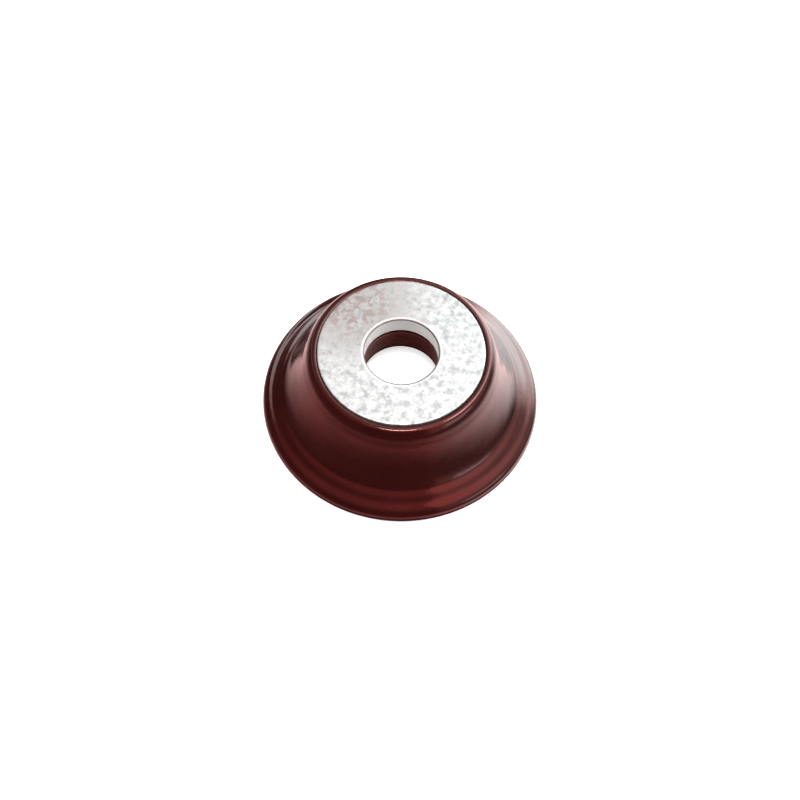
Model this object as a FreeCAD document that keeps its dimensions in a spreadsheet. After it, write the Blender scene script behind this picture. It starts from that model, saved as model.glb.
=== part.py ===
import FreeCAD, Part
import os

import Sketcher

# A bell-shaped porcelain insulator for a through stud, in millimetres.
# Its origin is the centre of the foot circle, on the surface it stands on, and +Z is its axis.
# The steel bearing ring lies loose in a recess of the crown, on a soft gasket.

# Driving dimensions: alias, value, and what it measures.
DIMENSIONS = (
    ("skirt_radius", 42.0, "widest circle of the bell"),
    ("skirt_height", 3.7, "height of the widest circle"),
    ("foot_outer_radius", 39.2, "outer edge of the flat foot ring"),
    ("foot_inner_radius", 34.2, "inner edge of the flat foot ring"),
    ("foot_bulge", 3.85, "profile radius between foot and widest circle"),
    ("foot_round", 0.6, "rounding of the foot ring's inner edge"),
    ("rim_radius", 39.6, "where the rim's bead meets the saddle"),
    ("rim_height", 7.2, "height of that circle"),
    ("rim_bulge", 3.76, "profile radius of the rim's bead"),
    ("saddle_hollow", 4.1, "profile radius of the saddle inside the rim"),
    ("saddle_radius", 38.0, "where the saddle meets the ledge"),
    ("saddle_height", 8.25, "height of that circle"),
    ("ledge_bulge", 5.45, "profile radius of the rounded ledge"),
    ("ledge_radius", 36.1, "inner edge of the ledge"),
    ("ledge_height", 9.65, "height of that circle"),
    ("corner_hollow", 1.81, "profile radius of the corner between ledge and flank"),
    ("corner_radius", 35.4, "where that corner meets the flank"),
    ("corner_height", 10.2, "height of that circle"),
    ("flank_low_hollow", 24.0, "profile radius of the flank's lower, tighter curve"),
    ("flank_radius", 33.6, "where the two curves of the flank meet"),
    ("flank_height", 13.4, "height of that circle"),
    ("flank_high_hollow", 73.0, "profile radius of the flank's upper, slacker curve"),
    ("waist_radius", 29.2, "top of the flank"),
    ("waist_height", 25.1, "height of the waist"),
    ("collar_radius", 28.75, "lower edge of the collar"),
    ("collar_height", 26.3, "height of that circle"),
    ("collar_bulge", 9.55, "profile radius of the collar's leaning side"),
    ("brow_radius", 26.95, "where the collar's side meets the rounded lip"),
    ("brow_height", 30.2, "height of that circle"),
    ("lip_bulge", 0.54, "profile radius of the rounded lip"),
    ("lip_radius", 26.6, "outer edge of the lip's flat top"),
    ("lip_height", 30.4, "top of the porcelain lip"),
    ("recess_radius", 25.2, "recess that locates the bearing ring"),
    ("recess_depth", 6.9, "recess depth below the lip"),
    ("recess_round", 0.2, "rounding of the recess mouth"),
    ("bore_radius", 11.5, "stud bore through the porcelain head"),
    ("bore_round", 0.8, "rounding of the bore's edges"),
    ("cavity_height", 15.0, "ceiling of the hollow underside"),
    ("cavity_top_radius", 24.5, "radius of the hollow at its ceiling"),
    ("cavity_round", 5.0, "rounding between ceiling and wall of the hollow"),
    ("ring_radius", 25.0, "bearing ring, outside"),
    ("ring_hole_radius", 11.1, "bearing ring hole, for an M20 stud"),
    ("ring_thickness", 6.0, "bearing ring thickness"),
    ("ring_round", 0.4, "rounding of the bearing ring's edges"),
    ("gasket_radius", 24.6, "gasket, outside"),
    ("gasket_hole_radius", 12.0, "gasket, inside"),
    ("gasket_space", 1.5, "distance between recess floor and bearing ring"),
    ("seat_gap", 0.04, "gap that keeps two loose pieces apart where one lies on the other"),
)

TOLERANCE = 1e-4
MAX_NAME_LENGTH = 60


def fill_sheet(doc):
    """Write every driving dimension into an aliased cell."""
    sheet = doc.addObject("Spreadsheet::Sheet", "Sizes")
    for row, (alias, value, meaning) in enumerate(DIMENSIONS, start=1):
        sheet.set(f"A{row}", alias)
        sheet.set(f"B{row}", str(value))
        sheet.set(f"C{row}", meaning)
        sheet.setAlias(f"B{row}", alias)
    doc.recompute()
    return sheet


def new_body(doc, name):
    """Start a sub-part, whose label names its file."""
    body = doc.addObject("PartDesign::Body", name)
    body.Label = name
    return body


def new_sketch(body, name, role):
    """Attach a sketch to one of the body's own origin planes."""
    plane = next(item for item in body.Origin.OriginFeatures if item.Role == role)
    sketch = body.newObject("Sketcher::SketchObject", name)
    sketch.AttachmentSupport = [(plane, "")]
    sketch.MapMode = "FlatFace"
    return sketch


def size_constraint(sketch, constraint, cell):
    """Add a dimension that follows a cell of the sheet."""
    index = sketch.addConstraint(constraint)
    sketch.setExpression(f"Constraints[{index}]", f"Sizes.{cell}")


def arc_through_bulge(start, end, radius, hollow):
    """Arc of a given radius between two profile points.

    The profile runs downwards and outwards, so its body lies on the right-hand side of
    travel; a hollow arc sags into the body and any other bulges out of it.
    """
    start_point = FreeCAD.Vector(start[0], start[1], 0)
    end_point = FreeCAD.Vector(end[0], end[1], 0)
    chord = end_point - start_point
    outward = FreeCAD.Vector(-chord.y, chord.x, 0).normalize()
    half_chord = chord.Length / 2
    sag = radius - (radius ** 2 - half_chord ** 2) ** 0.5
    side = -sag if hollow else sag
    middle = (start_point + end_point) / 2 + outward * side
    return Part.Arc(start_point, middle, end_point)


def closed_outline(sketch, sizes, corners, arcs):
    """Draw a closed outline through corners, given as (radius cell, height cell) pairs.

    A cell of None is zero. arcs maps the index of a corner to the (radius cell, hollow)
    of the arc that starts there; every other stretch is straight.
    """
    points = []
    for radius_cell, height_cell in corners:
        radius = getattr(sizes, radius_cell) if radius_cell else 0.0
        height = getattr(sizes, height_cell) if height_cell else 0.0
        points.append((radius, height))
    count = len(points)
    ends = {}
    for index, start in enumerate(points):
        end = points[(index + 1) % count]
        if index in arcs:
            radius_cell, hollow = arcs[index]
            arc = arc_through_bulge(start, end, getattr(sizes, radius_cell), hollow)
            sketch.addGeometry(arc, False)
            first_vertex = sketch.getPoint(index, 1)
            runs_forward = (first_vertex - FreeCAD.Vector(*start, 0)).Length < TOLERANCE
            ends[index] = (1, 2) if runs_forward else (2, 1)
            size_constraint(
                sketch, Sketcher.Constraint("Radius", index, getattr(sizes, radius_cell)), radius_cell
            )
        else:
            line = Part.LineSegment(FreeCAD.Vector(*start, 0), FreeCAD.Vector(*end, 0))
            sketch.addGeometry(line, False)
            ends[index] = (1, 2)
    for index, (radius_cell, height_cell) in enumerate(corners):
        previous = (index - 1) % count
        first = ends[index][0]
        sketch.addConstraint(
            Sketcher.Constraint("Coincident", previous, ends[previous][1], index, first)
        )
        place_corner(sketch, index, first, radius_cell, points[index][0], "DistanceX", -2)
        place_corner(sketch, index, first, height_cell, points[index][1], "DistanceY", -1)


def place_corner(sketch, index, vertex, cell, value, direction, axis):
    """Hold a corner at a cell's distance from the origin, or on the axis itself."""
    if cell:
        size_constraint(
            sketch, Sketcher.Constraint(direction, -1, 1, index, vertex, value), cell
        )
    else:
        sketch.addConstraint(Sketcher.Constraint("PointOnObject", index, vertex, axis))


def circles(sketch, radius_cells, sizes):
    """Draw circles about the axis."""
    for index, cell in enumerate(radius_cells):
        radius = getattr(sizes, cell)
        circle = Part.Circle(FreeCAD.Vector(0, 0, 0), FreeCAD.Vector(0, 0, 1), radius)
        sketch.addGeometry(circle, False)
        sketch.addConstraint(Sketcher.Constraint("Coincident", index, 3, -1, 1))
        size_constraint(sketch, Sketcher.Constraint("Radius", index, radius), cell)


def turned(body, kind, name, sketch):
    """Revolve a profile sketch once about the bell's axis, adding or removing material."""
    feature = body.newObject(f"PartDesign::{kind}", name)
    feature.Profile = sketch
    feature.ReferenceAxis = (sketch, ["V_Axis"])
    feature.Angle = 360
    sketch.Visibility = False
    return feature


def raised_sketch(body, name, height_formula):
    """Attach a level sketch at a height that follows the sheet."""
    sketch = new_sketch(body, name, "XY_Plane")
    sketch.setExpression("AttachmentOffset.Base.z", height_formula)
    return sketch


def round_circles(doc, body, name, places, radius_cell):
    """Round the full circular edges found at (radius, height) places."""
    doc.recompute()
    base = body.Tip
    wanted = []
    for number, edge in enumerate(base.Shape.Edges, start=1):
        if not isinstance(edge.Curve, Part.Circle):
            continue
        for radius, height in places:
            same_radius = abs(edge.Curve.Radius - radius) < TOLERANCE
            same_height = abs(edge.Curve.Center.z - height) < TOLERANCE
            if same_radius and same_height:
                wanted.append(f"Edge{number}")
    if len(wanted) != len(places):
        raise RuntimeError(f"{name}: {len(wanted)} edges found for {len(places)} places")
    fillet = body.newObject("PartDesign::Fillet", name)
    fillet.Base = (base, wanted)
    fillet.setExpression("Radius", f"Sizes.{radius_cell}")
    doc.recompute()


def require_less_material(name, before, after):
    """Stop if a cut removed nothing."""
    if not after < before - TOLERANCE:
        raise RuntimeError(f"{name} removed no material")


def make_porcelain_bell(doc, sizes):
    """Glazed bell: hollow underside, stepped rim, hollow flank, collar with a ring recess."""
    body = new_body(doc, "porcelain_bell")

    outline = new_sketch(body, "bell_outline", "XZ_Plane")
    corners = (
        (None, "lip_height"),
        ("lip_radius", "lip_height"),
        ("brow_radius", "brow_height"),
        ("collar_radius", "collar_height"),
        ("waist_radius", "waist_height"),
        ("flank_radius", "flank_height"),
        ("corner_radius", "corner_height"),
        ("ledge_radius", "ledge_height"),
        ("saddle_radius", "saddle_height"),
        ("rim_radius", "rim_height"),
        ("skirt_radius", "skirt_height"),
        ("foot_outer_radius", None),
        (None, None),
    )
    arcs = {
        1: ("lip_bulge", False),
        2: ("collar_bulge", False),
        4: ("flank_high_hollow", True),
        5: ("flank_low_hollow", True),
        6: ("corner_hollow", True),
        7: ("ledge_bulge", False),
        8: ("saddle_hollow", True),
        9: ("rim_bulge", False),
        10: ("foot_bulge", False),
    }
    closed_outline(outline, sizes, corners, arcs)
    turned(body, "Revolution", "bell_blank", outline)
    doc.recompute()
    blank_volume = body.Shape.Volume

    hollow = new_sketch(body, "hollow_outline", "XZ_Plane")
    hollow_corners = (
        (None, None),
        ("foot_inner_radius", None),
        ("cavity_top_radius", "cavity_height"),
        (None, "cavity_height"),
    )
    closed_outline(hollow, sizes, hollow_corners, {})
    turned(body, "Groove", "hollow_underside", hollow)
    doc.recompute()
    hollow_volume = body.Shape.Volume
    require_less_material("hollow_underside", blank_volume, hollow_volume)

    recess_circle = raised_sketch(body, "recess_circle", "Sizes.lip_height")
    circles(recess_circle, ("recess_radius",), sizes)
    recess = body.newObject("PartDesign::Pocket", "ring_recess")
    recess.Profile = recess_circle
    recess.setExpression("Length", "Sizes.recess_depth")
    doc.recompute()
    recess_volume = body.Shape.Volume
    require_less_material("ring_recess", hollow_volume, recess_volume)

    bore_circle = raised_sketch(body, "bore_circle", "Sizes.lip_height")
    circles(bore_circle, ("bore_radius",), sizes)
    bore = body.newObject("PartDesign::Pocket", "stud_bore")
    bore.Profile = bore_circle
    bore.setExpression("Length", "Sizes.lip_height")
    doc.recompute()
    require_less_material("stud_bore", recess_volume, body.Shape.Volume)

    recess_floor = sizes.lip_height - sizes.recess_depth
    rounds = (
        ("recess_mouth", "recess_round", [(sizes.recess_radius, sizes.lip_height)]),
        ("hollow_corner", "cavity_round", [(sizes.cavity_top_radius, sizes.cavity_height)]),
        ("bore_edges", "bore_round", [
            (sizes.bore_radius, recess_floor),
            (sizes.bore_radius, sizes.cavity_height),
        ]),
        ("foot_edge", "foot_round", [(sizes.foot_inner_radius, 0.0)]),
    )
    for name, radius_cell, places in rounds:
        round_circles(doc, body, name, places, radius_cell)
    return body


def make_flat_ring(doc, sizes, name, radius_cells, thickness_formula, height_formula):
    """Flat ring between two circles, standing on a given height."""
    body = new_body(doc, name)
    outline = new_sketch(body, f"{name}_circles", "XY_Plane")
    circles(outline, radius_cells, sizes)
    pad = body.newObject("PartDesign::Pad", f"{name}_plate")
    pad.Profile = outline
    pad.setExpression("Length", thickness_formula)
    body.setExpression("Placement.Base.z", height_formula)
    return body


def make_bearing_ring(doc, sizes):
    """Galvanised steel ring that spreads the nut's load, with all four edges rounded."""
    body = make_flat_ring(
        doc, sizes, "bearing_ring", ("ring_radius", "ring_hole_radius"), "Sizes.ring_thickness",
        "Sizes.lip_height - Sizes.recess_depth + Sizes.gasket_space",
    )
    places = [
        (radius, height)
        for radius in (sizes.ring_radius, sizes.ring_hole_radius)
        for height in (0.0, sizes.ring_thickness)
    ]
    round_circles(doc, body, "ring_edges", places, "ring_round")
    return body


def make_bedding_gasket(doc, sizes):
    """Soft flat gasket between the recess floor and the bearing ring."""
    return make_flat_ring(
        doc, sizes, "bedding_gasket", ("gasket_radius", "gasket_hole_radius"),
        "Sizes.gasket_space - 2 * Sizes.seat_gap",
        "Sizes.lip_height - Sizes.recess_depth + Sizes.seat_gap",
    )


def check_model(doc, bodies):
    """Stop on any failed object, and on a sub-part that is not one valid solid."""
    for item in doc.Objects:
        if "Invalid" in item.State or "Error" in item.State:
            raise RuntimeError(f"{item.Name} failed: {item.State}")
    for body in bodies:
        shape = body.Shape
        if shape.isNull() or not shape.isValid() or len(shape.Solids) != 1:
            raise RuntimeError(f"{body.Label} is not one valid solid")
        if len(body.Label) >= MAX_NAME_LENGTH:
            raise RuntimeError(f"{body.Label} is too long a name")


def write_parts(bodies):
    """Write one STEP file per sub-part."""
    os.makedirs("parts", exist_ok=True)
    for body in bodies:
        body.Shape.exportStep(f"parts/{body.Label}.step")


def main():
    doc = FreeCAD.newDocument("porcelain_insulator")
    sizes = fill_sheet(doc)
    bodies = [
        make_porcelain_bell(doc, sizes),
        make_bedding_gasket(doc, sizes),
        make_bearing_ring(doc, sizes),
    ]
    doc.recompute()
    check_model(doc, bodies)
    write_parts(bodies)


main()
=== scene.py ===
import math

import bmesh
import bpy
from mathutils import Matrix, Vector, noise


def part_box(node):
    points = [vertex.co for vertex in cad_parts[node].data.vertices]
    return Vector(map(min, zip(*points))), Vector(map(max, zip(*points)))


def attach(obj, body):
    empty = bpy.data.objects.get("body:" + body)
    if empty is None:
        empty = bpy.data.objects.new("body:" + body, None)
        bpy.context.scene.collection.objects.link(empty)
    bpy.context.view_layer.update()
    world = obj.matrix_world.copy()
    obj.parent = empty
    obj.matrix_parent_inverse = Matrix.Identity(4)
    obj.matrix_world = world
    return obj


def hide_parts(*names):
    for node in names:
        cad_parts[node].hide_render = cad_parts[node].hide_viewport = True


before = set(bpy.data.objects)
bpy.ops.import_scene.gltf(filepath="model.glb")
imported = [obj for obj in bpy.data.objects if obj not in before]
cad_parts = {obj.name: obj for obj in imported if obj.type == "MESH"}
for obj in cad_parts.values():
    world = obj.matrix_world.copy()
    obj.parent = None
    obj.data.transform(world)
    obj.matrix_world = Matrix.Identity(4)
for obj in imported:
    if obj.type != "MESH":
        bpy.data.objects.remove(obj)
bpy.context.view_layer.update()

# The looks of a bell-shaped porcelain insulator with a loose steel bearing ring in its crown.
# The +Z axis is the stud's axis. Lengths of the part and its materials are in millimetres, and
# lengths of the studio are in metres.

MM = 0.001


# ---------------------------------------------------------------- sizes read from the frame

def level(node, top):
    """Height of a CAD node's top or bottom, in millimetres."""
    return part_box(node)[1 if top else 0][2] / MM


def half_width(node):
    """Outside radius of a round CAD node, in millimetres."""
    low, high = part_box(node)
    return (high[1] - low[1]) / 2 / MM


SKIRT_RADIUS = half_width("porcelain_bell")
LIP_HEIGHT = level("porcelain_bell", True)
RING_RADIUS = half_width("bearing_ring")
RING_BOTTOM = level("bearing_ring", False)
RING_TOP = level("bearing_ring", True)
GASKET_RADIUS = half_width("bedding_gasket")
GASKET_BOTTOM = level("bedding_gasket", False)
GASKET_TOP = level("bedding_gasket", True)

# The rest of the bell's section.
SKIRT_HEIGHT = 3.7
FOOT_OUTER_RADIUS = 39.2
FOOT_INNER_RADIUS = 34.2
FOOT_BULGE = 3.85
RIM_RADIUS = 39.6
RIM_HEIGHT = 7.2
RIM_BULGE = 3.76
SADDLE_HOLLOW = 4.1
SADDLE_RADIUS = 38.0
SADDLE_HEIGHT = 8.25
LEDGE_BULGE = 5.45
LEDGE_RADIUS = 36.1
LEDGE_HEIGHT = 9.65
CORNER_HOLLOW = 1.81
CORNER_RADIUS = 35.4
CORNER_HEIGHT = 10.2
FLANK_LOW_HOLLOW = 24.0
FLANK_RADIUS = 33.6
FLANK_HEIGHT = 13.4
FLANK_HIGH_HOLLOW = 73.0
WAIST_RADIUS = 29.2
WAIST_HEIGHT = 25.1
COLLAR_RADIUS = 28.75
COLLAR_HEIGHT = 26.3
COLLAR_BULGE = 9.55
BROW_RADIUS = 26.95
BROW_HEIGHT = 30.2
LIP_BULGE = 0.54
LIP_RADIUS = 26.6
RECESS_RADIUS = 25.2
RECESS_FLOOR = 23.5
BORE_RADIUS = 11.5
CAVITY_HEIGHT = 15.0
CAVITY_TOP_RADIUS = 24.5
RING_HOLE_RADIUS = 11.1
GASKET_HOLE_RADIUS = 12.0


# ---------------------------------------------------------------- outlines

SAMPLE_STEP = 0.1
SOFTENING_REACHES = 3

# How far an outline is averaged to round its corners: over the bell at large, and where that differs.
GLAZE_SOFTNESS = 0.32
HOLLOW_SOFTNESS = 1.8
RECESS_SOFTNESS = 0.22
FOOT_SOFTNESS = 0.25
RING_SOFTNESS = 0.22
GASKET_SOFTNESS = 0.2

# How near its corner each of those applies.
HOLLOW_REACH = 6.0
LIP_REACH = 0.6
FLOOR_REACH = 1.0
FOOT_REACH = 1.0


def straight(start, end):
    """Points from start up to, but not including, end."""
    count = max(1, round(math.dist(start, end) / SAMPLE_STEP))
    return [
        (start[0] + (end[0] - start[0]) * i / count, start[1] + (end[1] - start[1]) * i / count)
        for i in range(count)
    ]


def curved(start, end, radius, side):
    """Points along an arc whose centre lies to the left (side 1) or right (side -1) of travel."""
    chord = math.dist(start, end)
    middle = ((start[0] + end[0]) / 2, (start[1] + end[1]) / 2)
    along = ((end[0] - start[0]) / chord, (end[1] - start[1]) / chord)
    reach = math.sqrt(radius ** 2 - (chord / 2) ** 2) * side
    centre = (middle[0] - along[1] * reach, middle[1] + along[0] * reach)
    first = math.atan2(start[1] - centre[1], start[0] - centre[0])
    sweep = 2 * math.asin(chord / 2 / radius) * side
    count = max(2, round(abs(sweep) * radius / SAMPLE_STEP))
    return [
        (
            centre[0] + radius * math.cos(first + sweep * i / count),
            centre[1] + radius * math.sin(first + sweep * i / count),
        )
        for i in range(count)
    ]


def soften(points, reach_at):
    """Round a closed outline's corners as a melted glaze does, by a local weighted average."""
    count = len(points)
    softened = []
    for index, point in enumerate(points):
        reach = reach_at(point) / SAMPLE_STEP
        span = max(1, round(SOFTENING_REACHES * reach))
        total = 0.0
        radius = 0.0
        height = 0.0
        for offset in range(-span, span + 1):
            weight = math.exp(-0.5 * (offset / reach) ** 2)
            neighbour = points[(index + offset) % count]
            total += weight
            radius += weight * neighbour[0]
            height += weight * neighbour[1]
        softened.append((radius / total, height / total))
    return softened


def thin_out(points, largest_gap, largest_turn):
    """Keep only the points that a smooth section needs."""
    kept = [points[0]]
    last_heading = None
    for before, point in zip(points, points[1:]):
        heading = math.atan2(point[1] - before[1], point[0] - before[0])
        if last_heading is None:
            last_heading = heading
        turn = abs((heading - last_heading + math.pi) % (2 * math.pi) - math.pi)
        if math.dist(point, kept[-1]) >= largest_gap or turn >= largest_turn:
            kept.append(point)
            last_heading = heading
    return kept


def bell_section():
    """Closed section of the bell, counter-clockwise from the inner edge of the foot."""
    foot_inner = (FOOT_INNER_RADIUS, 0.0)
    foot_outer = (FOOT_OUTER_RADIUS, 0.0)
    skirt = (SKIRT_RADIUS, SKIRT_HEIGHT)
    rim = (RIM_RADIUS, RIM_HEIGHT)
    saddle = (SADDLE_RADIUS, SADDLE_HEIGHT)
    ledge = (LEDGE_RADIUS, LEDGE_HEIGHT)
    corner = (CORNER_RADIUS, CORNER_HEIGHT)
    flank = (FLANK_RADIUS, FLANK_HEIGHT)
    waist = (WAIST_RADIUS, WAIST_HEIGHT)
    collar = (COLLAR_RADIUS, COLLAR_HEIGHT)
    brow = (BROW_RADIUS, BROW_HEIGHT)
    lip = (LIP_RADIUS, LIP_HEIGHT)
    recess_mouth = (RECESS_RADIUS, LIP_HEIGHT)
    recess_corner = (RECESS_RADIUS, RECESS_FLOOR)
    bore_top = (BORE_RADIUS, RECESS_FLOOR)
    bore_bottom = (BORE_RADIUS, CAVITY_HEIGHT)
    cavity_corner = (CAVITY_TOP_RADIUS, CAVITY_HEIGHT)
    points = straight(foot_inner, foot_outer)
    points += curved(foot_outer, skirt, FOOT_BULGE, 1)
    points += curved(skirt, rim, RIM_BULGE, 1)
    points += curved(rim, saddle, SADDLE_HOLLOW, -1)
    points += curved(saddle, ledge, LEDGE_BULGE, 1)
    points += curved(ledge, corner, CORNER_HOLLOW, -1)
    points += curved(corner, flank, FLANK_LOW_HOLLOW, -1)
    points += curved(flank, waist, FLANK_HIGH_HOLLOW, -1)
    points += straight(waist, collar)
    points += curved(collar, brow, COLLAR_BULGE, 1)
    points += curved(brow, lip, LIP_BULGE, 1)
    corners = (lip, recess_mouth, recess_corner, bore_top, bore_bottom, cavity_corner, foot_inner)
    for start, end in zip(corners, corners[1:]):
        points += straight(start, end)
    return points


def bell_softness(point):
    """How far the corners of the bell are rounded at a point of its section."""
    radius, height = point
    if math.dist(point, (CAVITY_TOP_RADIUS, CAVITY_HEIGHT)) < HOLLOW_REACH:
        return HOLLOW_SOFTNESS
    if radius < RECESS_RADIUS + LIP_REACH and height > RECESS_FLOOR - FLOOR_REACH:
        return RECESS_SOFTNESS
    if height < FOOT_REACH:
        return FOOT_SOFTNESS
    return GLAZE_SOFTNESS


def ring_section(inner, outer, bottom, top, softness):
    """Closed section of a flat ring with rounded edges, counter-clockwise."""
    corners = ((inner, bottom), (outer, bottom), (outer, top), (inner, top))
    points = []
    for start, end in zip(corners, corners[1:] + corners[:1]):
        points += straight(start, end)
    return soften(points, lambda point: softness)


# ---------------------------------------------------------------- meshes

def revolve(name, section, segments, shape):
    """Turn a closed section about +Z. shape moves each point and returns it in millimetres."""
    mesh = bpy.data.meshes.new(name)
    work = bmesh.new()
    rings = []
    for step in range(segments):
        angle = 2 * math.pi * step / segments
        rings.append([
            work.verts.new(Vector(shape(radius, height, angle)) * MM)
            for radius, height in section
        ])
    count = len(section)
    for step in range(segments):
        here = rings[step]
        there = rings[(step + 1) % segments]
        for index in range(count):
            after = (index + 1) % count
            face = work.faces.new((here[index], there[index], there[after], here[after]))
            face.smooth = True
    bmesh.ops.recalc_face_normals(work, faces=work.faces)
    work.to_mesh(mesh)
    work.free()
    piece = bpy.data.objects.new(name, mesh)
    bpy.context.scene.collection.objects.link(piece)
    return piece


def on_circle(radius, height, angle):
    """Point at a radius, height and angle."""
    return radius * math.cos(angle), radius * math.sin(angle), height


def smooth_step(low, high, value):
    """0 below low, 1 above high, and a smooth rise between."""
    share = min(1.0, max(0.0, (value - low) / (high - low)))
    return share * share * (3 - 2 * share)


# How far the fired bell strays from a true circle at the skirt: two-sided, three-sided, and inwards.
TWO_SIDED = 0.05
THREE_SIDED = 0.03
INWARDS = 0.09

# Radii at which the warp and the waves have grown to their full size, going out from the recess.
WARP_RADIUS = 40.0
WAVE_RADIUS = 27.0

# Height of the glaze's waves, their number in a millimetre, and how much closer they lie upwards.
WAVE_HEIGHT = 0.02
WAVE_RATE = 0.16
WAVE_SQUEEZE = 1.6
RIPPLE_HEIGHT = 0.006
RIPPLE_RATE = 0.42


def fired_shape(radius, height, angle):
    """A bell is never quite round after firing, and its glaze lies in faint waves."""
    x, y, z = on_circle(radius, height, angle)
    outside = smooth_step(RECESS_RADIUS + 0.4, WARP_RADIUS, radius)
    two_sided = TWO_SIDED * math.cos(2 * angle + 0.6)
    three_sided = THREE_SIDED * math.cos(3 * angle - 1.1)
    warp = outside * (two_sided + three_sided - INWARDS)
    wave = noise.noise(Vector((x, y, z * WAVE_SQUEEZE)) * WAVE_RATE)
    ripple = noise.noise(Vector((x, y, z)) * RIPPLE_RATE + Vector((7.0, 3.0, 1.0)))
    glazed = smooth_step(RECESS_RADIUS + 0.5, WAVE_RADIUS, radius) * smooth_step(0.2, 2.0, height)
    swell = warp + glazed * (WAVE_HEIGHT * wave + RIPPLE_HEIGHT * ripple)
    stretch = (radius + swell) / radius
    return x * stretch, y * stretch, z


# How far the faces are held back, so that the zinc's runs and pimples stay inside the CAD box, and
# the height and rate of those.
ZINC_DROP = 0.02
RUN_HEIGHT = 0.012
RUN_RATE = 0.35
PIMPLE_HEIGHT = 0.006
PIMPLE_RATE = 1.3

# How far the ring's edges stray, as a share of their radius.
EDGE_STRAY = 0.0006


def dipped_shape(radius, height, angle):
    """Zinc runs a little thicker in places, so the faces and edges of the ring undulate."""
    x, y, z = on_circle(radius, height, angle)
    run = noise.noise(Vector((x, y, z)) * RUN_RATE)
    pimple = noise.noise(Vector((x, y, z)) * PIMPLE_RATE + Vector((2.0, 9.0, 4.0)))
    middle = (RING_TOP + RING_BOTTOM) / 2
    half_thickness = (RING_TOP - RING_BOTTOM) / 2
    side = 1.0 if height > middle else -1.0
    on_face = smooth_step(half_thickness - 1.0, half_thickness - 0.1, abs(height - middle))
    rise = on_face * side * (RUN_HEIGHT * run + PIMPLE_HEIGHT * pimple - ZINC_DROP)
    stray = 1 + (1 - on_face) * EDGE_STRAY * run
    return x * stray, y * stray, z + rise


# How far the gasket's outline strays, as a share of its radius, and how often.
GASKET_STRAY = 0.003
GASKET_STRAY_RATE = 0.2


def squeezed_shape(radius, height, angle):
    """A gasket that was cut and squeezed is never quite round."""
    x, y, z = on_circle(radius, height, angle)
    stray = 1 + GASKET_STRAY * noise.noise(Vector((x, y, 0.0)) * GASKET_STRAY_RATE)
    return x * stray, y * stray, z


# ---------------------------------------------------------------- materials

class Nodes:
    """Builds a node tree by short calls that return sockets."""

    def __init__(self, tree):
        self.tree = tree

    def fill(self, socket, value):
        """Link a socket to another, or set it."""
        if isinstance(value, bpy.types.NodeSocket):
            self.tree.links.new(value, socket)
        else:
            socket.default_value = value

    def vector(self, operation, first, second=None, scale=None):
        """Vector math."""
        node = self.tree.nodes.new("ShaderNodeVectorMath")
        node.operation = operation
        self.fill(node.inputs[0], first)
        if second is not None:
            self.fill(node.inputs[1], second)
        if scale is not None:
            self.fill(node.inputs["Scale"], scale)
        gives_number = operation in ("LENGTH", "DISTANCE", "DOT_PRODUCT")
        return node.outputs["Value" if gives_number else "Vector"]

    def split(self, vector):
        """The three parts of a vector."""
        node = self.tree.nodes.new("ShaderNodeSeparateXYZ")
        self.fill(node.inputs[0], vector)
        return node.outputs["X"], node.outputs["Y"], node.outputs["Z"]

    def maths(self, operation, *values):
        """Scalar math, carried from the left through any number of values."""
        result = values[0]
        for value in values[1:]:
            node = self.tree.nodes.new("ShaderNodeMath")
            node.operation = operation
            self.fill(node.inputs[0], result)
            self.fill(node.inputs[1], value)
            result = node.outputs[0]
        return result

    def product(self, *values):
        """Product of any number of values."""
        return self.maths("MULTIPLY", *values)

    def magnitude(self, value):
        """A value without its sign."""
        return self.maths("MAXIMUM", value, self.product(value, -1.0))

    def remap(self, value, low, high, to_low=0.0, to_high=1.0):
        """Smoothly carry low..high to to_low..to_high."""
        node = self.tree.nodes.new("ShaderNodeMapRange")
        node.interpolation_type = "SMOOTHSTEP"
        self.fill(node.inputs["Value"], value)
        node.inputs["From Min"].default_value = low
        node.inputs["From Max"].default_value = high
        node.inputs["To Min"].default_value = to_low
        node.inputs["To Max"].default_value = to_high
        return node.outputs["Result"]

    def mix(self, share, first, second):
        """Blend of two colours."""
        node = self.tree.nodes.new("ShaderNodeMix")
        node.data_type = "RGBA"
        self.fill(node.inputs["Factor"], share)
        self.fill(node.inputs["A"], first)
        self.fill(node.inputs["B"], second)
        return node.outputs["Result"]


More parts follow.
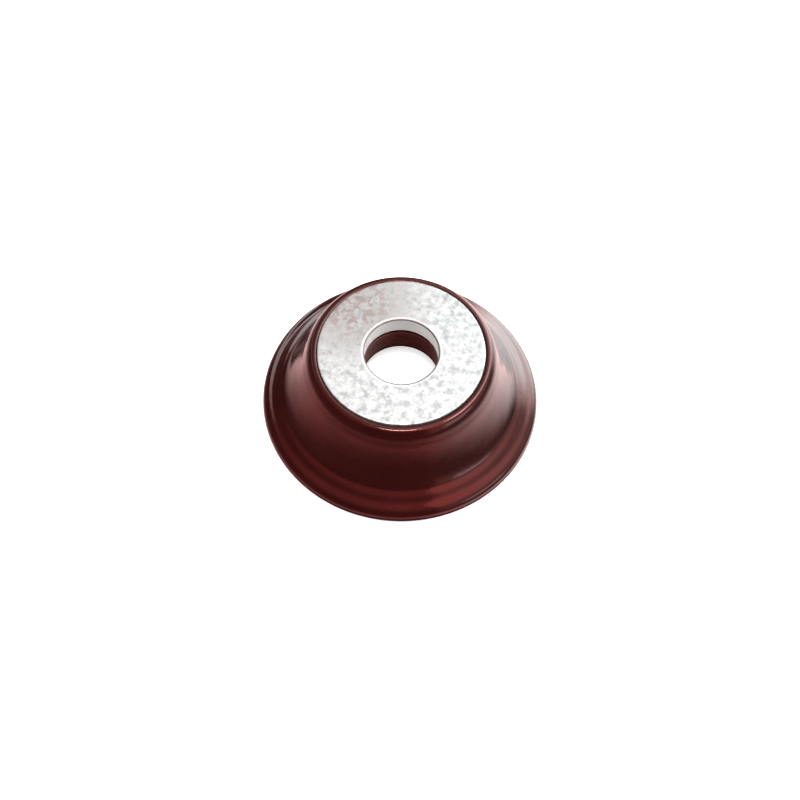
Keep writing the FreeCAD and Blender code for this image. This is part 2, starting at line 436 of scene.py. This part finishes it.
class Shader(Nodes):
    """One node material. Its place socket is in millimetres."""

    def __init__(self, name):
        self.material = bpy.data.materials.new(name)
        self.material.use_nodes = True
        super().__init__(self.material.node_tree)
        self.surface = next(n for n in self.tree.nodes if n.type == "BSDF_PRINCIPLED")
        coordinates = self.tree.nodes.new("ShaderNodeTexCoord")
        self.place = self.vector("SCALE", coordinates.outputs["Object"], scale=1 / MM)

    def noise_node(self, scale, detail, roughness):
        """Noise whose features are about 1 / scale millimetres across."""
        node = self.tree.nodes.new("ShaderNodeTexNoise")
        self.fill(node.inputs["Vector"], self.place)
        node.inputs["Scale"].default_value = scale
        node.inputs["Detail"].default_value = detail
        node.inputs["Roughness"].default_value = roughness
        return node

    def noise(self, scale, detail, roughness):
        """Noise from 0 to 1."""
        return self.noise_node(scale, detail, roughness).outputs["Fac"]

    def warped_place(self, scale, reach):
        """The place, pushed about by up to a number of millimetres."""
        cloud = self.noise_node(scale, 2.0, 0.5).outputs["Color"]
        centred = self.vector("SUBTRACT", cloud, (0.5, 0.5, 0.5))
        return self.vector("ADD", self.place, self.vector("SCALE", centred, scale=2 * reach))

    def crystals(self, scale, place):
        """One value from 0 to 1 for each cell of about 1 / scale millimetres."""
        node = self.tree.nodes.new("ShaderNodeTexVoronoi")
        self.fill(node.inputs["Vector"], place)
        node.inputs["Scale"].default_value = scale
        return self.split(node.outputs["Color"])[0]

    def height(self):
        """Height above the foot, in millimetres."""
        return self.split(self.place)[2]

    def off_axis(self):
        """Distance from the axis, in millimetres."""
        return self.vector("LENGTH", self.vector("MULTIPLY", self.place, (1.0, 1.0, 0.0)))

    def bump(self, height, distance, normal=None):
        """Relief of a given depth in millimetres."""
        node = self.tree.nodes.new("ShaderNodeBump")
        node.inputs["Strength"].default_value = 1.0
        node.inputs["Distance"].default_value = distance * MM
        self.fill(node.inputs["Height"], height)
        if normal is not None:
            self.fill(node.inputs["Normal"], normal)
        return node.outputs["Normal"]

    def set(self, **values):
        """Set inputs of the surface shader and return the material; underscores stand for spaces."""
        for name, value in values.items():
            self.fill(self.surface.inputs[name.replace("_", " ")], value)
        return self.material


def paint(piece, material):
    """Give a piece one material."""
    piece.data.materials.clear()
    piece.data.materials.append(material)


# Up to where the foot is bare of glaze, how wide that edge is, and how far it wanders.
BARE_HEIGHT = 0.18
BARE_EDGE = 0.12
BARE_WANDER = 0.25


def brown_glaze():
    """Dark red-brown glaze over cream porcelain, bare where the bell stood in the kiln."""
    shader = Shader("brown_glaze")
    deep = (0.0115, 0.0016, 0.0015, 1.0)
    warm = (0.0165, 0.0023, 0.0022, 1.0)
    dark = (0.0095, 0.0014, 0.0013, 1.0)
    iron = (0.008, 0.0025, 0.0025, 1.0)
    tan_biscuit = (0.52, 0.43, 0.33, 1.0)
    pale_biscuit = (0.66, 0.58, 0.47, 1.0)
    red_gleam = (1.0, 0.45, 0.42, 1.0)
    cloud = shader.remap(shader.noise(0.09, 4.0, 0.55), 0.35, 0.68)
    grain = shader.remap(shader.noise(1.4, 3.0, 0.6), 0.30, 0.75, 0.0, 0.35)
    speck = shader.remap(shader.noise(3.2, 2.0, 0.5), 0.70, 0.78, 0.0, 0.7)
    colour = shader.mix(grain, shader.mix(cloud, deep, warm), dark)
    colour = shader.mix(speck, colour, iron)
    wander = shader.product(shader.noise(0.5, 3.0, 0.6), BARE_WANDER)
    glaze_edge = shader.maths("ADD", shader.height(), wander)
    bare = shader.remap(glaze_edge, BARE_HEIGHT, BARE_HEIGHT + BARE_EDGE, 1.0, 0.0)
    biscuit = shader.mix(shader.noise(0.8, 4.0, 0.6), tan_biscuit, pale_biscuit)
    colour = shader.mix(bare, colour, biscuit)
    glossy = shader.remap(shader.noise(0.35, 3.0, 0.6), 0.3, 0.7, 0.07, 0.13)
    rough = shader.maths("MAXIMUM", glossy, shader.product(bare, 0.75))
    waves = shader.bump(shader.noise(0.22, 2.0, 0.5), 0.035)
    peel = shader.bump(shader.noise(0.9, 2.0, 0.5), 0.012, waves)
    return shader.set(
        Base_Color=colour, Roughness=rough, Normal=peel, IOR=1.45, Specular_Tint=red_gleam
    )


# Middle of the brown patch on the ring, and how far from it the patch starts to fade and is gone.
BROWN_PATCH_MIDDLE = (-14.0, 16.0, RING_TOP)
BROWN_PATCH_CORE = 4.0
BROWN_PATCH_REACH = 26.0


def galvanised_steel():
    """Hot-dip zinc with spangle, mottling and a light brown patch, a painted highlight round the
    hole, painted shade on the hole's edge, and a wall in its hole painted pale and less metallic as
    if lit.
    """
    shader = Shader("galvanised_steel")
    dull_zinc = (0.114, 0.120, 0.119, 1.0)
    bright_zinc = (0.303, 0.310, 0.308, 1.0)
    crystal = (0.27, 0.275, 0.273, 1.0)
    brown = (0.110, 0.087, 0.080, 1.0)
    highlight_grey = (0.36, 0.36, 0.36, 1.0)
    edge_shade_dark = (0.05, 0.038, 0.033, 1.0)
    lit_wall_grey = (0.74, 0.78, 0.76, 1.0)
    off_hole = shader.maths("SUBTRACT", shader.off_axis(), RING_HOLE_RADIUS)
    depth = shader.maths("SUBTRACT", RING_TOP, shader.height())
    spangle = shader.crystals(0.55, shader.warped_place(0.6, 0.6))
    fleck = shader.noise(0.42, 6.0, 0.72)
    colour = shader.mix(shader.remap(fleck, 0.36, 0.64), dull_zinc, bright_zinc)
    colour = shader.mix(shader.product(spangle, 0.30), colour, crystal)
    # A brown patch towards the back left of the top face, fading outwards and broken up by the fleck.
    off_brown_patch = shader.vector("DISTANCE", shader.place, BROWN_PATCH_MIDDLE)
    brown_patch = shader.product(
        shader.remap(off_brown_patch, BROWN_PATCH_CORE, BROWN_PATCH_REACH, 0.90, 0.0), shader.remap(fleck, 0.40, 0.56)
    )
    colour = shader.mix(brown_patch, colour, brown)
    # Painted highlight: a lighter grey band on the top face round the hole.
    painted_hole_highlight = shader.product(
        shader.remap(off_hole, 0.6, 1.2, 0.6, 0.0), shader.remap(depth, 0.4, 1.0, 1.0, 0.0)
    )
    colour = shader.mix(painted_hole_highlight, colour, highlight_grey)
    # Painted shade: a dark line where the hole's edge rounds over.
    painted_edge_shade = shader.product(
        shader.remap(off_hole, 0.35, 0.55, 0.9, 0.0), shader.remap(depth, 0.4, 0.8, 1.0, 0.0)
    )
    colour = shader.mix(painted_edge_shade, colour, edge_shade_dark)
    # Painted light: the hole's wall is a paler, less metallic copy of the zinc, so that it looks lit.
    wall = shader.product(
        shader.remap(off_hole, 0.15, 0.35, 1.0, 0.0), shader.remap(depth, 0.3, 0.5)
    )
    colour = shader.mix(wall, colour, lit_wall_grey)
    metal = shader.remap(wall, 0.0, 1.0, 0.50, 0.0)
    rough = shader.remap(fleck, 0.3, 0.7, 0.50, 0.32)
    relief = shader.bump(spangle, 0.012)
    relief = shader.bump(shader.noise(3.0, 3.0, 0.6), 0.010, relief)
    return shader.set(Base_Color=colour, Roughness=rough, Normal=relief, Metallic=metal)


def black_rubber():
    """Dark rubber with a dusty bloom and moulded grain."""
    shader = Shader("black_rubber")
    black = (0.018, 0.018, 0.019, 1.0)
    dusty = (0.07, 0.068, 0.064, 1.0)
    bloom = shader.noise(0.4, 4.0, 0.6)
    colour = shader.mix(shader.remap(bloom, 0.4, 0.75), black, dusty)
    rough = shader.remap(bloom, 0.3, 0.7, 0.55, 0.8)
    grain = shader.bump(shader.noise(4.0, 2.0, 0.6), 0.03)
    return shader.set(Base_Color=colour, Roughness=rough, Normal=grain)


def pale_floor():
    """Plain table top that glows round the part and again far away from it."""
    shader = Shader("pale_floor")
    pale = (0.86, 0.86, 0.86, 1.0)
    white = (1.0, 1.0, 1.0, 1.0)
    radius = shader.off_axis()
    near_glow = shader.remap(radius, 120.0, 420.0, 0.70, 0.20)
    far_glow = shader.remap(radius, 500.0, 900.0, 0.0, 0.80)
    glow = shader.maths("MAXIMUM", near_glow, far_glow)
    return shader.set(
        Base_Color=pale, Roughness=0.9, Emission_Color=white, Emission_Strength=glow
    )


# ---------------------------------------------------------------- pieces

def make_bell():
    """Dense glazed body in place of the plain CAD solid."""
    outline = soften(bell_section(), bell_softness)
    section = thin_out(outline, largest_gap=0.8, largest_turn=math.radians(4.0))
    piece = revolve("glazed_bell", section, segments=320, shape=fired_shape)
    paint(piece, brown_glaze())
    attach(piece, "bell")
    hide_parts("porcelain_bell")


def make_ring():
    """Galvanised bearing ring with rounded, slightly uneven edges."""
    outline = ring_section(RING_HOLE_RADIUS, RING_RADIUS, RING_BOTTOM, RING_TOP, RING_SOFTNESS)
    section = thin_out(outline, largest_gap=0.5, largest_turn=math.radians(8.0))
    piece = revolve("galvanised_ring", section, segments=256, shape=dipped_shape)
    paint(piece, galvanised_steel())
    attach(piece, "ring")
    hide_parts("bearing_ring")


def make_gasket():
    """Soft ring under the steel."""
    outline = ring_section(
        GASKET_HOLE_RADIUS, GASKET_RADIUS, GASKET_BOTTOM, GASKET_TOP, GASKET_SOFTNESS
    )
    section = thin_out(outline, largest_gap=0.8, largest_turn=math.radians(10.0))
    piece = revolve("rubber_gasket", section, segments=192, shape=squeezed_shape)
    paint(piece, black_rubber())
    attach(piece, "gasket")
    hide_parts("bedding_gasket")


# ---------------------------------------------------------------- studio

FLOOR_HALF_WIDTH = 1.5


def make_floor():
    """Plain floor under the foot. It isn't mirrored in the glaze, which mirrors the room's table."""
    half = FLOOR_HALF_WIDTH
    mesh = bpy.data.meshes.new("floor")
    mesh.from_pydata(
        [(-half, -half, 0.0), (half, -half, 0.0), (half, half, 0.0), (-half, half, 0.0)],
        [], [(0, 1, 2, 3)],
    )
    floor = bpy.data.objects.new("floor", mesh)
    bpy.context.scene.collection.objects.link(floor)
    floor.visible_glossy = False
    paint(floor, pale_floor())


WINDOW_STRENGTH = 10.8
DOOR_STRENGTH = 2.8
STRIP_STRENGTH = 4.5

# Square to the plane through the part in which the slanted strip lies.
STRIP_NORMAL = (0.710, 0.384, 0.591)

WARM_LIGHT = (1.0, 0.36, 0.34, 1.0)
WHITE_LIGHT = (1.0, 1.05, 1.04, 1.0)
COOL_LIGHT = (0.80, 1.05, 1.05, 1.0)


class Room(Nodes):
    """The room that the glaze mirrors, each part of it as a brightness or share for a direction.

    x, y and z are the parts of the direction: x to the right, y away from the camera and z up.
    """

    def __init__(self, tree):
        super().__init__(tree)
        self.direction = tree.nodes.new("ShaderNodeTexCoord").outputs["Generated"]
        self.x, self.y, self.z = self.split(self.direction)
        self.azimuth = self.maths("ARCTAN2", self.y, self.x)
        self.not_underfoot = self.remap(self.z, -0.88, -0.74, 0.05, 1.0)

    def between(self, low, high, edge_low, edge_high):
        """1 between two azimuths in degrees, with edges of the given widths outside them."""
        rise = self.remap(self.azimuth, math.radians(low - edge_low), math.radians(low))
        fall = self.remap(self.azimuth, math.radians(high), math.radians(high + edge_high), 1.0, 0.0)
        return self.product(rise, fall)

    def dim_room(self):
        """The room at large: bright towards the ceiling, dim behind the part, dark underfoot."""
        return self.product(
            self.remap(self.z, 0.25, 1.05, 0.40, 1.8),
            self.remap(self.y, 0.0, 0.4, 1.0, 0.45),
            self.not_underfoot,
        )

    def table(self):
        """The table round the part: bright to the right, dim to the left, dark underfoot."""
        return self.product(
            self.remap(self.z, -0.62, -0.30, 1.60, 0.0),
            self.remap(self.x, 0.0, 0.55, 1.0, 1.7),
            self.remap(self.x, -0.75, -0.35, 0.62, 1.0),
            self.not_underfoot,
        )

    def backdrop(self):
        """A bright low backdrop behind the part, dim to the left."""
        return self.product(
            self.remap(self.y, 0.58, 0.75, 0.0, 1.8),
            self.remap(self.z, -0.35, -0.08, 1.0, 0.06),
            self.remap(self.x, -0.45, -0.05, 0.3, 1.0),
        )

    def wall(self):
        """A bright wall to the right, brightest high up."""
        return self.product(
            self.between(-58.0, 80.0, 8.0, 20.0),
            self.remap(self.z, -0.25, 0.0),
            self.remap(self.z, 0.3, 0.8, 1.2, 3.0),
        )

    def window(self):
        """Share of a tall window behind the part to the right."""
        return self.product(
            self.between(45.0, 64.0, 27.0, 14.0),
            self.remap(self.z, -0.6, 0.2),
            self.remap(self.z, 0.88, 0.97, 1.0, 0.0),
        )

    def door(self):
        """Share of a low lit doorway in front of the part to the right."""
        return self.product(
            self.between(-42.0, -20.0, 8.0, 8.0),
            self.remap(self.z, -0.14, -0.02),
            self.remap(self.z, 0.08, 0.22, 1.0, 0.0),
        )

    def strip(self):
        """Share of a slanted strip of light behind the part to the left."""
        off_strip = self.magnitude(self.vector("DOT_PRODUCT", self.direction, STRIP_NORMAL))
        return self.product(
            self.remap(off_strip, 0.04, 0.12, 1.0, 0.0),
            self.remap(self.y, 0.1, 0.5),
            self.remap(self.x, -0.42, -0.30, 1.0, 0.0),
        )

    def colour(self, cool_share):
        """Warm light, whiter to the right, to the back and high behind, and cool for a share."""
        to_right = self.remap(self.x, 0.2, 0.9, 0.0, 0.6)
        to_back = self.remap(self.y, -0.1, 0.9, 0.0, 0.5)
        high_behind = self.product(self.remap(self.y, 0.25, 0.45), self.remap(self.z, 0.70, 0.82))
        whiter = self.maths("MAXIMUM", self.maths("ADD", to_right, to_back), high_behind)
        return self.mix(cool_share, self.mix(whiter, WARM_LIGHT, WHITE_LIGHT), COOL_LIGHT)


def make_world():
    """The room for mirrored light and for the background. Soft light comes from the lamps alone."""
    world = bpy.data.worlds.new("room")
    bpy.context.scene.world = world
    world.use_nodes = True
    world.cycles_visibility.diffuse = False
    room = Room(world.node_tree)
    window = room.window()
    door = room.door()
    strip = room.strip()
    strength = room.maths(
        "ADD",
        room.dim_room(),
        room.maths("MAXIMUM", room.table(), room.backdrop()),
        room.wall(),
        room.product(window, WINDOW_STRENGTH),
        room.product(door, DOOR_STRENGTH),
        room.product(strip, STRIP_STRENGTH),
    )
    colour = room.colour(room.maths("MAXIMUM", window, door, strip))
    background = next(n for n in world.node_tree.nodes if n.type == "BACKGROUND")
    room.fill(background.inputs["Strength"], strength)
    room.fill(background.inputs["Color"], colour)


def area_light(name, azimuth, elevation, distance, size, power, glossy=True):
    """Rectangular lamp that faces the part. Azimuth 0 is +X and 90 is +Y; size is (width, height)."""
    data = bpy.data.lights.new(name, "AREA")
    data.shape = "RECTANGLE"
    data.size, data.size_y = size
    data.energy = power
    lamp = bpy.data.objects.new(name, data)
    turn = math.radians(azimuth)
    rise = math.radians(elevation)
    towards = Vector((
        math.cos(rise) * math.cos(turn), math.cos(rise) * math.sin(turn), math.sin(rise)
    ))
    lamp.location = towards * distance
    lamp.rotation_euler = towards.to_track_quat("Z", "Y").to_euler()
    lamp.visible_glossy = glossy
    bpy.context.scene.collection.objects.link(lamp)


def make_lights():
    """Two small lamps that also glint on the glaze, one for the hole's wall and three soft ones."""
    area_light("lip_lamp", 92.0, 86.0, 0.7, (0.12, 0.12), 3.2)
    area_light("right_lamp", 24.0, 70.0, 0.7, (0.30, 0.12), 2.2)
    area_light("bore_lamp", 272.0, 64.0, 0.7, (0.06, 0.06), 1.9, glossy=False)
    area_light("soft_top", 200.0, 82.0, 0.9, (0.8, 0.8), 4.0, glossy=False)
    area_light("left_wall", 175.0, 25.0, 0.8, (0.6, 0.4), 2.5, glossy=False)
    area_light("right_wall", 5.0, 25.0, 0.8, (0.6, 0.4), 3.0, glossy=False)


# The camera looks just below a point on the axis.
CAMERA_AIM = 0.003
CAMERA_DROP = 0.00023
CAMERA_ELEVATION = 59.72
CAMERA_DISTANCE = 0.6748
CAMERA_ROLL = 1.73

# Lens and sensor in millimetres, as Blender wants them.
CAMERA_LENS = 99.0
SENSOR_WIDTH = 36.0


def make_camera():
    """Camera in front of and above the part, aimed at the axis near the skirt's height."""
    data = bpy.data.cameras.new("camera")
    data.lens = CAMERA_LENS
    data.sensor_width = SENSOR_WIDTH
    data.clip_start = 0.01
    camera = bpy.data.objects.new("camera", data)
    rise = math.radians(CAMERA_ELEVATION)
    roll = math.radians(CAMERA_ROLL)
    back = Vector((0.0, -math.cos(rise), math.sin(rise)))
    right = Vector((1.0, 0.0, 0.0))
    up = Vector((0.0, math.sin(rise), math.cos(rise)))
    rolled_right = right * math.cos(roll) + up * math.sin(roll)
    rolled_up = up * math.cos(roll) - right * math.sin(roll)
    aim = Vector((0.0, 0.0, CAMERA_AIM)) - rolled_up * CAMERA_DROP
    place = aim + back * CAMERA_DISTANCE
    matrix = camera.matrix_world.copy()
    for row in range(3):
        matrix[row][0] = rolled_right[row]
        matrix[row][1] = rolled_up[row]
        matrix[row][2] = back[row]
        matrix[row][3] = place[row]
    camera.matrix_world = matrix
    bpy.context.scene.collection.objects.link(camera)
    bpy.context.scene.camera = camera


make_camera()
make_bell()
make_ring()
make_gasket()
make_floor()
make_world()
make_lights()
bpy.context.scene.view_settings.view_transform = "Standard"
